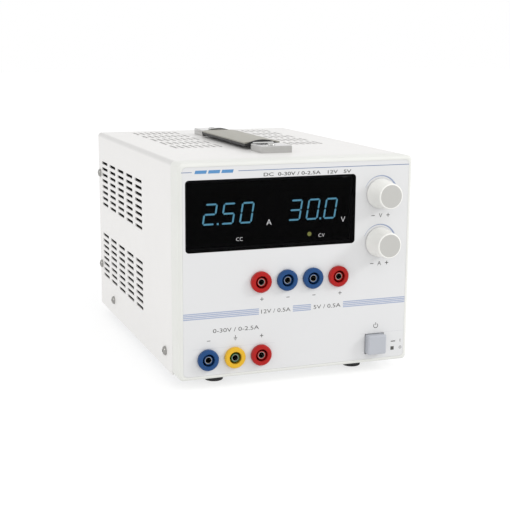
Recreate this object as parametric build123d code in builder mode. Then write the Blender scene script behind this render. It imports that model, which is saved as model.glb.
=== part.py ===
"""Bench power supply: a vented steel case with a moulded front, three adjustable and four
fixed output sockets, two meters, two control knobs, a power button and a strap handle.

Frame: +X to the right seen from the front, +Y towards the back, +Z up. The origin is the
centre of the bottom of the whole object. Millimetres.
"""

from build123d import *
import os

os.makedirs("parts", exist_ok=True)

# ---------------------------------------------------------------- driving dimensions
case_width = 170.0
case_height = 147.0
case_depth = 239.0
fit_gap = 0.2  # between fixed pieces that slip together
run_gap = 0.4  # between a moving piece and what it moves past

# sheet metal
cover_wall = 1.0
cover_bend = 3.0
sheet = 1.2
flange_height = 22.0
flange_depth = 12.0
plate_foot = 23.0

# moulded front
bezel_depth = 17.0
bezel_wall = 2.6
bezel_corner = 3.0
bezel_edge = 2.0
overlay_thickness = 0.4
overlay_margin = 2.6

# feet
foot_stand = 8.2  # how far the feet hold the case off the bench
foot_top_radius = 7.0
foot_bottom_radius = 6.5
foot_from_side = 32.0
foot_behind_bezel = 0.5
foot_from_back = 24.0
foot_round = 0.8
foot_head_radius = 3.3
foot_screw_sink = 4.0
foot_screw_length = 9.0

# display
window_left = 4.7
window_over_sockets = 22.6
window_from_top = 11.3
window_corner = 2.5
window_lip = 1.5
window_frame = 2.0  # how far the front plate reaches in over the window's edge
lip_thickness = 1.0
module_gap = 0.3
module_width = 37.8
module_height = 19.0
module_thickness = 8.0
module_edge = 0.4
digit_shift = 1.2  # the meters sit a little right of the middle of each half
led_radius = 1.5
led_shift = {"current": 1.5, "voltage": 2.6}
board_thickness = 1.6
board_rim = 5.0
standoff_inset = 8.0

# sockets
socket_pitch = 19.05
lower_row_left = 19.8
lower_row_height = 13.8
upper_row_left = 57.5
upper_row_height = 65.0
collar_flange = 1.4  # how far the collar reaches past the thread
collar_stand = 3.0
collar_edge = 0.8
recess_edge = 0.4
socket_thread_radius = 5.9
socket_length = 24.0
recess_radius = 4.25
recess_depth = 14.0
sleeve_radius = 2.95
contact_radius = 2.45
contact_bore = 2.05
contact_set_back = 1.2
contact_set_in = 0.3
contact_end = 1.5
contact_tail = 5.0
tail_radius = 1.4
nut_thickness = 2.5
nut_rim = 1.1  # from the thread to a flat

# controls
knob_from_right = 24.1
knob_from_top = 25.6
knob_spacing = 34.2
knob_base_radius = 10.5
knob_front_radius = 8.75
knob_stand = 16.5
knob_clear = 0.6
knob_wall = 1.5
knob_edge = 0.5
knob_front_wall = 3.0
knob_hollow = 9.0
knob_hub_radius = 5.0
knob_cap_radius = 7.9
knob_cap_thickness = 1.2
knob_ring_radius = 14.4  # room kept for the printed scale round a knob
shaft_radius = 3.0
shaft_gap = 0.05
bushing_radius = 4.5
bushing_end = 0.6
pot_radius = 8.5
pot_depth = 11.0
pot_nut_thickness = 2.0
pot_nut_rim = 1.5

# power switch
button_width = 14.2
button_height = 13.8
button_stand = 5.6
button_travel = 4.0
button_wall = 1.6
button_from_right = 25.8
button_corner = 1.0
button_edge = 0.9
button_skirt = 2.0
stem_depth = 6.0
switch_lug = 1.2
tag_width = 4.8
tag_thickness = 0.8
tag_length = 7.0
switch_width = 18.0
switch_height = 15.0
switch_depth = 24.0
plunger_width = 4.0
switch_gap = 3.4

# vents
slot_length = 20.5
slot_width = 2.4
slot_pitch = 4.93
column_pitch = 27.9
vent_columns = 5
vent_rows = 8
last_column_from_back = 22.4
side_vent_low = 27.9
side_vent_high = 88.6
top_vent_inset = 44.5

# handle
bracket_width = 23.0
bracket_length = 22.0
bracket_height = 5.0
bracket_wall = 1.0
bracket_round = 0.6
handle_from_front = 42.5
handle_from_back = 37.0
strap_width = 16.0
strap_thickness = 1.2
strap_float = 0.4
strap_end = 2.0
strap_exit = 0.5
strap_slot = 9.0
grip_width = 27.6
grip_gap = 6.2
grip_rise = 2.4
grip_slab = 1.8
grip_edge = 0.9
grip_crown = 4.6
grip_end = 1.6
grip_lip = 1.0

# cover screws
screw_radius = 1.5
screw_clear = 0.15
head_radius = 3.4
head_height = 2.1
cover_screw_length = 7.0
small_head_radius = 2.8
small_head_height = 1.8
short_screw_length = 5.0
long_screw_length = 8.5
handle_screw_length = 9.0
handle_head_height = 1.2
side_screw_height = 12.6
side_screw_front = 34.8
side_screw_back = 47.6
back_screw_from_back = 5.6
back_screw_low = 35.4
back_screw_high = 113.6

# heatsink and pass transistors
sink_width = 112.0
sink_height = 78.0
sink_base = 5.0
sink_stand = 24.0
fin_thickness = 2.0
fin_count = 13
sink_from_top = 54.0
sink_thread = 4.2
sink_screw_x = 48.0
sink_screw_z = 33.0
transistor_width = 15.8
transistor_height = 20.0
transistor_thickness = 5.0
transistor_spacing = 44.0
transistor_leg = 14.0

# mains inlet
inlet_width = 50.0
inlet_height = 34.0
inlet_flange = 3.0
inlet_round = 3.0
inlet_edge = 0.6
inlet_body_width = 28.0
inlet_body_depth = 26.0
inlet_from_left = 45.0
inlet_from_bottom = 30.0
cavity_width = 24.2
cavity_height = 15.8
cavity_depth = 17.0
cavity_lift = -5.5
inlet_screw_spacing = 40.0
pin_width = 4.0
pin_height = 2.0
pin_length = 15.0
pin_pitch = 7.0
pin_offset = 2.0
pin_tail = 7.0
drawer_width = 22.0
drawer_height = 8.0
drawer_depth = 22.0
drawer_lift = 10.5
drawer_face = 1.6
drawer_edge = 0.4
drawer_bar = 1.5
fuse_radius = 2.5
fuse_length = 20.0

# transformer
core_width = 62.0
core_height = 62.0
core_leg = 11.0
core_middle = 20.0
core_stack = 38.0
winding_gap = 0.4
winding_round = 3.0
winding_length = 58.0
transformer_from_left = 47.0
transformer_from_front = 125.0
clamp_thickness = 1.5
clamp_width = 28.0
clamp_foot = 11.0

# electronics board
board_width = 70.0
board_from_right = 7.0
board_from_front = 60.0
board_from_back = 36.0
board_screw_inset = 5.0
standoff_radius = 3.0
capacitor_radius = 15.0
capacitor_height = 50.0
capacitor_round = 1.2
capacitor_inset = 3.0
relay_width = 15.5
relay_length = 19.5
relay_height = 15.5
relay_pitch = 24.0
relay_inset = 4.0
lead_stand = 4.0
lead_width = 1.2
lead_thickness = 0.6
lead_pitch = 5.45
regulator_sink_height = 30.0
regulator_sink_wall = 1.5
rectifier_thickness = 6.0
rectifier_width = 30.0
rectifier_height = 20.0

# ---------------------------------------------------------------- derived places
screw_hole = screw_radius + screw_clear
total_depth = knob_stand + case_depth + sink_stand
front = -total_depth / 2 + knob_stand
back = front + case_depth
left = -case_width / 2
right = case_width / 2
bottom = foot_stand
top = bottom + case_height
inner_half = case_width / 2 - cover_wall - fit_gap
deck_low = bottom + bezel_wall + fit_gap
deck = deck_low + sheet
wall_front = front + overlay_thickness
wall_back = front + bezel_wall
plate_front = wall_back + lip_thickness
plate_back = plate_front + sheet
module_front = plate_front + module_gap
module_back = module_front + module_thickness
standoff_length = module_back - plate_back
knob_x = right - knob_from_right
knob_heights = {
    "voltage": top - knob_from_top,
    "current": top - knob_from_top - knob_spacing,
}
button_x = right - button_from_right
button_z = bottom + lower_row_height
lower_row = [(left + lower_row_left + i * socket_pitch, bottom + lower_row_height) for i in range(3)]
upper_row = [(left + upper_row_left + i * socket_pitch, bottom + upper_row_height) for i in range(4)]
window_low = bottom + upper_row_height + window_over_sockets
window_high = top - window_from_top
window_right = knob_x - knob_ring_radius - window_left
window_width = window_right - (left + window_left)
window_height = window_high - window_low
window_x = left + window_left + window_width / 2
window_z = (window_low + window_high) / 2
module_x = {
    "current": window_x - window_width / 4 + digit_shift,
    "voltage": window_x + window_width / 4 + digit_shift,
}
led_z = (window_low + window_z - module_height / 2) / 2
led_x = {name: x - led_shift[name] for name, x in module_x.items()}
standoff_spots = [
    (window_x + sx * (window_width / 2 - standoff_inset), window_z + sz * (window_height / 2 + window_frame))
    for sx in (-1, 1)
    for sz in (-1, 1)
]
plate_screws = [(sx * (case_width / 2 - 12), plate_back + plate_foot - 5) for sx in (-1, 1)]
foot_spots = [
    (sx * (case_width / 2 - foot_from_side), y)
    for y in (front + bezel_depth + foot_behind_bezel + foot_top_radius, back - foot_from_back)
    for sx in (-1, 1)
]
handle_front = front + handle_from_front
handle_back = back - handle_from_back


def facing(y):
    """Plane at depth y whose sketches read as seen from the front; extruding goes forwards."""
    return Plane(origin=(0, y, 0), x_dir=(1, 0, 0), z_dir=(0, -1, 0))


def side_plane(x):
    """Plane at x whose sketches have Y across and Z up; extruding goes to the right."""
    return Plane(origin=(x, 0, 0), x_dir=(0, 1, 0), z_dir=(1, 0, 0))


def finish(piece, name):
    """Label a finished piece and write it."""
    piece.label = name
    export_step(piece, f"parts/{name}.step")
    return piece


def pan_screw(length, radius=screw_radius, head=head_radius, height=head_height):
    """A pan-head screw along +Z: the head's seat at the origin, the shank below it."""
    with BuildPart() as screw:
        with BuildSketch():
            Circle(head)
        extrude(amount=height)
        fillet(screw.edges().group_by(Axis.Z)[-1], height * 0.6)
        with BuildSketch():
            Circle(radius)
        extrude(amount=-length)
    return screw.part


def seated(screw, places, direction, turn=(1, 0, 0)):
    """Copies of a screw with their heads facing direction, one at each place."""
    return [screw.moved(Plane(origin=p, x_dir=turn, z_dir=direction).location) for p in places]


# ---------------------------------------------------------------- front
with BuildPart() as front_bezel:
    with BuildSketch(facing(front)):
        with Locations((0, (bottom + top) / 2)):
            RectangleRounded(case_width, case_height, bezel_corner)
    extrude(amount=-bezel_depth)
    fillet(front_bezel.faces().sort_by(Axis.Y)[0].edges(), bezel_edge)
    with BuildSketch(facing(wall_back)):
        with Locations((0, (bottom + top) / 2)):
            Rectangle(case_width - 2 * bezel_wall, case_height - 2 * bezel_wall)
    extrude(amount=-bezel_depth, mode=Mode.SUBTRACT)
    with BuildSketch(facing(front)):
        with Locations((0, (bottom + top) / 2)):
            RectangleRounded(
                case_width - 2 * overlay_margin, case_height - 2 * overlay_margin, bezel_corner
            )
    extrude(amount=-overlay_thickness, mode=Mode.SUBTRACT)
    with BuildSketch(facing(front)):
        with Locations((window_x, window_z)):
            RectangleRounded(window_width + fit_gap, window_height + fit_gap, window_corner)
        with Locations(*lower_row, *upper_row):
            Circle(socket_thread_radius + fit_gap / 2)
        with Locations(*[(knob_x, z) for z in knob_heights.values()]):
            Circle(bushing_radius + fit_gap / 2)
        with Locations((button_x, button_z)):
            Rectangle(button_width + 2 * run_gap, button_height + 2 * run_gap)
    extrude(amount=-2 * bezel_wall, mode=Mode.SUBTRACT)
finish(front_bezel.part, "front_bezel")

with BuildPart() as front_overlay:
    with BuildSketch(facing(wall_front)):
        with Locations((0, (bottom + top) / 2)):
            RectangleRounded(
                case_width - 2 * overlay_margin - fit_gap,
                case_height - 2 * overlay_margin - fit_gap,
                bezel_corner,
            )
        with Locations((window_x, window_z)):
            RectangleRounded(
                window_width + fit_gap, window_height + fit_gap, window_corner, mode=Mode.SUBTRACT
            )
        with Locations(*lower_row, *upper_row):
            Circle(socket_thread_radius + fit_gap / 2, mode=Mode.SUBTRACT)
        with Locations(*[(knob_x, z) for z in knob_heights.values()]):
            Circle(bushing_radius + fit_gap / 2, mode=Mode.SUBTRACT)
        with Locations((button_x, button_z)):
            Rectangle(button_width + 2 * run_gap, button_height + 2 * run_gap, mode=Mode.SUBTRACT)
    extrude(amount=overlay_thickness)
finish(front_overlay.part, "front_overlay")

with BuildPart() as display_window:
    with BuildSketch(facing(front)):
        with Locations((window_x, window_z)):
            RectangleRounded(window_width, window_height, window_corner)
    extrude(amount=-bezel_wall)
    with BuildSketch(facing(wall_back)):
        with Locations((window_x, window_z)):
            RectangleRounded(window_width + 2 * window_lip, window_height + 2 * window_lip, window_corner)
    extrude(amount=-lip_thickness)
finish(display_window.part, "display_window")

with BuildPart() as front_plate:
    with BuildSketch(facing(plate_front)):
        with Locations((0, (deck + top - bezel_wall - fit_gap) / 2)):
            Rectangle(case_width - 2 * bezel_wall - 2 * fit_gap, top - bezel_wall - fit_gap - deck)
        with Locations((window_x, window_z)):
            Rectangle(window_width - 2 * window_frame, window_height - 2 * window_frame, mode=Mode.SUBTRACT)
        with Locations(*lower_row, *upper_row):
            Circle(socket_thread_radius + fit_gap / 2, mode=Mode.SUBTRACT)
        with Locations(*[(knob_x, z) for z in knob_heights.values()]):
            Circle(bushing_radius + fit_gap / 2, mode=Mode.SUBTRACT)
        with Locations((button_x, button_z)):
            Rectangle(button_width + 2 * run_gap, button_height + 2 * run_gap, mode=Mode.SUBTRACT)
        with Locations(*standoff_spots):
            Circle(screw_radius, mode=Mode.SUBTRACT)
    extrude(amount=-sheet)
    with BuildSketch(Plane.XY.offset(deck)):
        with Locations((0, plate_back + plate_foot / 2)):
            Rectangle(case_width - 2 * bezel_wall - 2 * fit_gap, plate_foot)
        with Locations(*plate_screws):
            Circle(screw_radius, mode=Mode.SUBTRACT)
        with Locations(*foot_spots[:2]):
            Circle(screw_hole, mode=Mode.SUBTRACT)
    extrude(amount=sheet)
finish(front_plate.part, "front_plate")

# ---------------------------------------------------------------- chassis and case
skirt_front = front + bezel_depth + fit_gap
panel_screws = [(sx * (case_width / 2 - 20), back - sheet - 6) for sx in (-1, 1)]
low_side_screws = [front + side_screw_front, back - side_screw_back]
back_side_screws = [bottom + back_screw_low, bottom + back_screw_high]
board_x = right - board_from_right - board_width / 2
board_front = front + board_from_front
board_back = back - board_from_back
board_y = (board_front + board_back) / 2
board_length = board_back - board_front
board_low = deck + standoff_length
board_spots = [
    (board_x + sx * (board_width / 2 - board_screw_inset), board_y + sy * (board_length / 2 - board_screw_inset))
    for sx in (-1, 1)
    for sy in (-1, 1)
]
core_x = left + transformer_from_left
core_y = front + transformer_from_front
clamp_half = core_width / 2 + clamp_thickness
clamp_spots = [
    (core_x + sx * (clamp_half + clamp_foot / 2), core_y + sy * clamp_width / 3)
    for sx in (-1, 1)
    for sy in (-1, 1)
]

with BuildPart() as base_chassis:
    with BuildSketch(Plane.XY.offset(deck_low)):
        with Locations((0, (plate_front + skirt_front) / 2)):
            Rectangle(case_width - 2 * bezel_wall - 2 * fit_gap, skirt_front - plate_front)
        with Locations((0, (skirt_front + back - sheet - fit_gap) / 2)):
            Rectangle(2 * inner_half, back - sheet - fit_gap - skirt_front)
    extrude(amount=sheet)
    with BuildSketch(Plane.XY.offset(deck_low)):
        with Locations(
            *[(sx * (inner_half - sheet / 2), (skirt_front + back - sheet - fit_gap) / 2) for sx in (-1, 1)]
        ):
            Rectangle(sheet, back - sheet - fit_gap - skirt_front)
    extrude(amount=flange_height)
    with BuildSketch(Plane.XY.offset(deck_low)):
        with Locations(*plate_screws, *panel_screws, *board_spots, *clamp_spots, *foot_spots):
            Circle(screw_hole)
    extrude(amount=sheet, mode=Mode.SUBTRACT)
    with BuildSketch(side_plane(-case_width)):
        with Locations(*[(y, bottom + side_screw_height) for y in low_side_screws]):
            Circle(screw_hole)
    extrude(amount=2 * case_width, mode=Mode.SUBTRACT)
finish(base_chassis.part, "base_chassis")

sink_z = top - sink_from_top
sink_spots = [(sx * sink_screw_x, sink_z + sz * sink_screw_z) for sx in (-1, 1) for sz in (-1, 1)]
transistor_spots = [(sx * transistor_spacing / 2, sink_z) for sx in (-1, 1)]
inlet_x = right - inlet_from_left
inlet_z = bottom + inlet_from_bottom
inlet_body_height = inlet_height - 2
inlet_screws = [(inlet_x + sx * inlet_screw_spacing / 2, inlet_z) for sx in (-1, 1)]
panel_low = deck_low + flange_height + fit_gap

with BuildPart() as rear_panel:
    with BuildSketch(facing(back)) as plate:
        with Locations((0, (deck + top - cover_wall - fit_gap) / 2)):
            Rectangle(2 * inner_half, top - cover_wall - fit_gap - deck)
        fillet(plate.vertices().group_by(Axis.Y)[-1], cover_bend - cover_wall)
        with Locations(*transistor_spots):
            Rectangle(transistor_width + 2 * fit_gap, transistor_height + 2 * fit_gap, mode=Mode.SUBTRACT)
        with Locations(*sink_spots):
            Circle(screw_hole, mode=Mode.SUBTRACT)
        with Locations(*inlet_screws):
            Circle(screw_radius, mode=Mode.SUBTRACT)
        with Locations((inlet_x, inlet_z)):
            Rectangle(inlet_body_width + 2 * fit_gap, inlet_body_height + 2 * fit_gap, mode=Mode.SUBTRACT)
    extrude(amount=sheet)
    for sx in (-1, 1):
        with BuildSketch(side_plane(sx * inner_half)):
            with Locations((back - sheet - flange_depth / 2, (panel_low + top - cover_bend) / 2)):
                Rectangle(flange_depth, top - cover_bend - panel_low)
            with Locations(*[(back - back_screw_from_back, z) for z in back_side_screws]):
                Circle(screw_hole, mode=Mode.SUBTRACT)
        extrude(amount=-sx * sheet)
    with BuildSketch(Plane.XY.offset(deck)):
        with Locations((0, back - sheet - flange_depth / 2)):
            Rectangle(2 * (inner_half - sheet - fit_gap), flange_depth)
        with Locations(*panel_screws):
            Circle(screw_radius, mode=Mode.SUBTRACT)
    extrude(amount=sheet)
finish(rear_panel.part, "rear_panel")

last_column = back - last_column_from_back
first_column = last_column - (vent_columns - 1) * column_pitch
vent_y = (first_column + last_column) / 2
vent_rise = (vent_rows - 1) * slot_pitch / 2
handle_spots = [(0, handle_front + bracket_length / 2), (0, handle_back - bracket_length / 2)]

with BuildPart() as cover:
    with BuildSketch(facing(skirt_front)) as outline:
        with Locations((0, (bottom + top) / 2)):
            Rectangle(case_width, case_height)
        fillet(outline.vertices().group_by(Axis.Y)[-1], cover_bend)
    extrude(amount=skirt_front - back)
    with BuildSketch(facing(skirt_front)) as hollow:
        with Locations((0, (bottom + top - cover_wall) / 2)):
            Rectangle(case_width - 2 * cover_wall, case_height - cover_wall)
        fillet(hollow.vertices().group_by(Axis.Y)[-1], cover_bend - cover_wall)
    extrude(amount=skirt_front - back, mode=Mode.SUBTRACT)
    with BuildSketch(side_plane(-case_width)):
        for low in (side_vent_low, side_vent_high):
            with Locations((vent_y, bottom + low + vent_rise)):
                with GridLocations(column_pitch, slot_pitch, vent_columns, vent_rows):
                    SlotOverall(slot_length, slot_width)
        with Locations(*[(y, bottom + side_screw_height) for y in low_side_screws]):
            Circle(screw_hole)
        with Locations(*[(back - back_screw_from_back, z) for z in back_side_screws]):
            Circle(screw_hole)
    extrude(amount=2 * case_width, mode=Mode.SUBTRACT)
    with BuildSketch(Plane.XY.offset(top)):
        with Locations(*[(sx * (case_width / 2 - top_vent_inset), vent_y) for sx in (-1, 1)]):
            with GridLocations(slot_pitch, column_pitch, vent_rows, vent_columns):
                SlotOverall(slot_length, slot_width, rotation=90)
        with Locations(*handle_spots):
            Circle(screw_radius)
    extrude(amount=-cover_bend, mode=Mode.SUBTRACT)
finish(cover.part, "cover")

# ---------------------------------------------------------------- feet
with BuildPart() as foot:
    with BuildSketch(Plane.XZ):
        with BuildLine():
            Polyline(
                (screw_radius, foot_screw_sink),
                (foot_head_radius, foot_screw_sink),
                (foot_head_radius, 0),
                (foot_bottom_radius, 0),
                (foot_top_radius, foot_stand),
                (foot_top_radius, deck_low),
                (screw_radius, deck_low),
                close=True,
            )
        make_face()
    revolve(axis=Axis.Z)
    fillet(foot.faces().sort_by(Axis.Z)[0].outer_wire().edges(), foot_round)

with BuildPart() as feet:
    with Locations(*foot_spots):
        add(foot.part)
finish(feet.part, "feet")

# ---------------------------------------------------------------- sockets


def turned(points, x, z):
    """Solid turned about the fore-and-aft axis through (x, z), from (radius, depth) points."""
    with BuildPart() as piece:
        with BuildSketch(Plane(origin=(x, front, z), x_dir=(1, 0, 0), z_dir=(0, 0, 1))):
            with BuildLine():
                Polyline(*points, close=True)
            make_face()
        revolve(axis=Axis((x, front, z), (0, 1, 0)))
    return piece.part


collar_radius = socket_thread_radius + collar_flange
socket_outline = [
    (contact_radius, socket_length),
    (socket_thread_radius, socket_length),
    (socket_thread_radius, 0),
    (collar_radius, 0),
    (collar_radius, collar_edge - collar_stand),
    (collar_radius - collar_edge, -collar_stand),
    (recess_radius + recess_edge, -collar_stand),
    (recess_radius, recess_edge - collar_stand),
    (recess_radius, recess_depth - collar_stand),
]
core_start = contact_set_back - collar_stand
sleeve_outline = [
    (sleeve_radius, recess_depth - collar_stand),
    (sleeve_radius, core_start),
    (contact_radius, core_start),
]
socket_places = {
    "output_negative_socket": lower_row[0],
    "output_positive_socket": lower_row[2],
    "fixed_12v_positive_socket": upper_row[0],
    "fixed_12v_negative_socket": upper_row[1],
    "fixed_5v_negative_socket": upper_row[2],
    "fixed_5v_positive_socket": upper_row[3],
}
for name, (x, z) in socket_places.items():
    finish(turned(socket_outline + sleeve_outline, x, z), name)

earth_outline = [(sleeve_radius, socket_length)] + socket_outline[1:]
earth_outline.append((sleeve_radius, recess_depth - collar_stand))
finish(turned(earth_outline, *lower_row[1]), "earth_socket")
earth_core_outline = [
    (contact_radius, socket_length),
    (contact_radius, core_start),
    (sleeve_radius, core_start),
    (sleeve_radius, socket_length),
]
finish(turned(earth_core_outline, *lower_row[1]), "earth_socket_core")

contact_outline = [
    (contact_bore, core_start + contact_set_in),
    (contact_radius, core_start + contact_set_in),
    (contact_radius, socket_length + contact_end),
    (tail_radius, socket_length + contact_end),
    (tail_radius, socket_length + contact_end + contact_tail),
    (0, socket_length + contact_end + contact_tail),
    (0, socket_length),
    (contact_bore, socket_length),
]
with BuildPart() as socket_contacts:
    for place in (*lower_row, *upper_row):
        add(turned(contact_outline, *place))
finish(socket_contacts.part, "socket_contacts")

with BuildPart() as socket_nuts:
    with BuildSketch(facing(plate_back)):
        with Locations(*lower_row, *upper_row):
            RegularPolygon(socket_thread_radius + nut_rim, 6, major_radius=False)
            Circle(socket_thread_radius, mode=Mode.SUBTRACT)
    extrude(amount=-nut_thickness)
finish(socket_nuts.part, "socket_nuts")

# ---------------------------------------------------------------- control knobs
hub_start = pot_nut_thickness + bushing_end + knob_clear
shaft_end = knob_stand - knob_front_wall
knob_outline = [
    (shaft_radius, -hub_start),
    (knob_hub_radius, -hub_start),
    (knob_hub_radius, -knob_hollow),
    (knob_front_radius - knob_wall, -knob_hollow),
    (knob_base_radius - knob_wall, -knob_clear),
    (knob_base_radius, -knob_clear),
    (knob_front_radius, knob_edge - knob_stand),
    (knob_front_radius - knob_edge, -knob_stand),
    (knob_cap_radius, -knob_stand),
    (knob_cap_radius, knob_cap_thickness - knob_stand),
    (0, knob_cap_thickness - knob_stand),
    (0, -shaft_end),
    (shaft_radius, -shaft_end),
]
cap_outline = [
    (0, -knob_stand),
    (knob_cap_radius, -knob_stand),
    (knob_cap_radius, knob_cap_thickness - knob_stand),
    (0, knob_cap_thickness - knob_stand),
]
pot_start = plate_back - front
bushing_front = -pot_nut_thickness - bushing_end
shaft_back = pot_start + pot_depth / 2
pot_outline = [
    (shaft_radius + shaft_gap, bushing_front),
    (bushing_radius, bushing_front),
    (bushing_radius, pot_start),
    (pot_radius, pot_start),
    (pot_radius, pot_start + pot_depth),
    (0, pot_start + pot_depth),
    (0, shaft_back + run_gap),
    (shaft_radius + shaft_gap, shaft_back + run_gap),
]
shaft_outline = [(0, -shaft_end), (shaft_radius, -shaft_end), (shaft_radius, shaft_back), (0, shaft_back)]

for name, z in knob_heights.items():
    finish(turned(knob_outline, knob_x, z), f"{name}_knob")
    finish(turned(cap_outline, knob_x, z), f"{name}_knob_cap")
    finish(turned(pot_outline, knob_x, z), f"{name}_potentiometer")
    finish(turned(shaft_outline, knob_x, z), f"{name}_shaft")

with BuildPart() as control_nuts:
    with BuildSketch(facing(front)):
        with Locations(*[(knob_x, z) for z in knob_heights.values()]):
            RegularPolygon(bushing_radius + pot_nut_rim, 6, major_radius=False)
            Circle(bushing_radius, mode=Mode.SUBTRACT)
    extrude(amount=pot_nut_thickness)
finish(control_nuts.part, "control_nuts")

# ---------------------------------------------------------------- power switch
switch_front = plate_back + switch_gap
stem_back = switch_front + stem_depth

with BuildPart() as power_button:
    with BuildSketch(facing(front + button_skirt)):
        with Locations((button_x, button_z)):
            RectangleRounded(button_width, button_height, button_corner)
    extrude(amount=button_stand + button_skirt)
    chamfer(power_button.faces().sort_by(Axis.Y)[0].edges(), button_edge)
    with BuildSketch(facing(front + button_skirt)):
        with Locations((button_x, button_z)):
            Rectangle(button_width - 2 * button_wall, button_height - 2 * button_wall)
    extrude(amount=button_stand + button_skirt - button_wall, mode=Mode.SUBTRACT)
    with BuildSketch(facing(stem_back)):
        with Locations((button_x, button_z)):
            Rectangle(plunger_width, plunger_width)
    extrude(amount=stem_back - front + button_stand - button_wall / 2)
finish(power_button.part, "power_button")

with BuildPart() as power_switch:
    with BuildSketch(facing(switch_front)):
        with Locations((button_x, button_z)):
            Rectangle(switch_width, switch_height)
    extrude(amount=-switch_depth)
    with BuildSketch(facing(switch_front)):
        with Locations((button_x, button_z)):
            Rectangle(plunger_width + 2 * run_gap, plunger_width + 2 * run_gap)
    extrude(amount=-stem_depth - button_travel - run_gap, mode=Mode.SUBTRACT)
    with BuildSketch(facing(plate_back)):
        for sx in (-1, 1):
            with Locations((button_x + sx * (switch_width - switch_lug) / 2, button_z)):
                Rectangle(switch_lug, switch_height)
    extrude(amount=-switch_gap)
    with BuildSketch(facing(switch_front + switch_depth)):
        with Locations((button_x, button_z)):
            with GridLocations(switch_width / 2, switch_height / 2, 2, 2):
                Rectangle(tag_width, tag_thickness)
    extrude(amount=-tag_length)
finish(power_switch.part, "power_switch")

# ---------------------------------------------------------------- display
for name, x in module_x.items():
    with BuildPart() as meter:
        with BuildSketch(facing(module_front)):
            with Locations((x, window_z)):
                Rectangle(module_width, module_height)
        extrude(amount=-module_thickness)
        chamfer(meter.faces().sort_by(Axis.Y)[0].edges(), module_edge)
    finish(meter.part, f"{name}_meter")

leds = {"constant_current_led": led_x["current"], "constant_voltage_led": led_x["voltage"]}
for name, x in leds.items():
    with BuildPart() as led:
        with BuildSketch(facing(module_back)):
            with Locations((x, led_z)):
                Circle(led_radius)
        extrude(amount=module_thickness)
        fillet(led.faces().sort_by(Axis.Y)[0].edges(), led_radius * 0.8)
    finish(led.part, name)

with BuildPart() as display_board:
    with BuildSketch(facing(module_back)):
        with Locations((window_x, window_z)):
            Rectangle(window_width - 2 * board_rim, window_height + 2 * board_rim)
        with Locations(*standoff_spots):
            Circle(screw_radius, mode=Mode.SUBTRACT)
    extrude(amount=-board_thickness)
finish(display_board.part, "display_board")

# ---------------------------------------------------------------- main board
with BuildPart() as main_board:
    with BuildSketch(Plane.XY.offset(board_low)):
        with Locations((board_x, board_y)):
            Rectangle(board_width, board_length)
        with Locations(*board_spots):
            Circle(screw_radius, mode=Mode.SUBTRACT)
    extrude(amount=board_thickness)
finish(main_board.part, "main_board")
board_top = board_low + board_thickness

with BuildPart() as standoffs:
    with BuildSketch(Plane.XY.offset(deck)):
        with Locations(*board_spots):
            Circle(standoff_radius)
            Circle(screw_radius, mode=Mode.SUBTRACT)
    extrude(amount=standoff_length)
    with BuildSketch(facing(plate_back)):
        with Locations(*standoff_spots):
            Circle(standoff_radius)
            Circle(screw_radius, mode=Mode.SUBTRACT)
    extrude(amount=-standoff_length)
finish(standoffs.part, "standoffs")

capacitor_x = board_x - board_width / 2 + capacitor_radius + capacitor_inset
capacitor_y = [board_y + i * (2 * capacitor_radius + capacitor_inset) for i in (0, 1)]
with BuildPart() as filter_capacitors:
    for y in capacitor_y:
        with BuildSketch(Plane.XY.offset(board_top)):
            with Locations((capacitor_x, y)):
                Circle(capacitor_radius)
        extrude(amount=capacitor_height)
    fillet(filter_capacitors.edges().group_by(Axis.Z)[-1], capacitor_round)
finish(filter_capacitors.part, "filter_capacitors")

relay_x = board_x + board_width / 2 - relay_inset - relay_width / 2
with BuildPart() as relays:
    with BuildSketch(Plane.XY.offset(board_top)):
        with Locations(*[(relay_x, board_y + i * relay_pitch) for i in (0, 1)]):
            Rectangle(relay_width, relay_length)
    extrude(amount=relay_height)
finish(relays.part, "relays")

rectifier_y = board_front + board_screw_inset + rectifier_width
with BuildPart() as bridge_rectifier:
    with BuildSketch(Plane.XY.offset(board_top + lead_stand)):
        with Locations((capacitor_x, rectifier_y)):
            Rectangle(rectifier_thickness, rectifier_width)
    extrude(amount=rectifier_height)
    with BuildSketch(Plane.XY.offset(board_top)):
        with Locations((capacitor_x, rectifier_y)):
            with GridLocations(0, rectifier_width / 4, 1, 4):
                Rectangle(lead_thickness, lead_width)
    extrude(amount=lead_stand)
finish(bridge_rectifier.part, "bridge_rectifier")

with BuildPart() as regulator_heatsink:
    with BuildSketch(Plane.XY.offset(board_top)):
        with Locations((relay_x, rectifier_y)):
            Rectangle(relay_width, regulator_sink_wall)
            with Locations(*[(sx * (relay_width - regulator_sink_wall) / 2, 0) for sx in (-1, 0, 1)]):
                Rectangle(regulator_sink_wall, relay_width)
    extrude(amount=regulator_sink_height)
finish(regulator_heatsink.part, "regulator_heatsink")

# ---------------------------------------------------------------- transformer
core_z = deck + core_height / 2
core_window = (core_width - 2 * core_leg - core_middle) / 2
with BuildPart() as transformer_core:
    with BuildSketch(facing(core_y)):
        with Locations((core_x, core_z)):
            Rectangle(core_width, core_height)
        with Locations(
            *[(core_x + sx * (core_middle + core_window) / 2, core_z) for sx in (-1, 1)]
        ):
            Rectangle(core_window, core_height - 2 * core_leg, mode=Mode.SUBTRACT)
    extrude(amount=core_stack / 2, both=True)
finish(transformer_core.part, "transformer_core")

winding_height = core_height - 2 * core_leg - 2 * winding_gap
with BuildPart() as transformer_winding:
    with BuildSketch(Plane.XY.offset(core_z - winding_height / 2)):
        with Locations((core_x, core_y)):
            RectangleRounded(
                core_middle + 2 * core_window - 2 * winding_gap, winding_length, winding_round
            )
            Rectangle(core_middle, core_stack, mode=Mode.SUBTRACT)
    extrude(amount=winding_height)
finish(transformer_winding.part, "transformer_winding")

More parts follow.
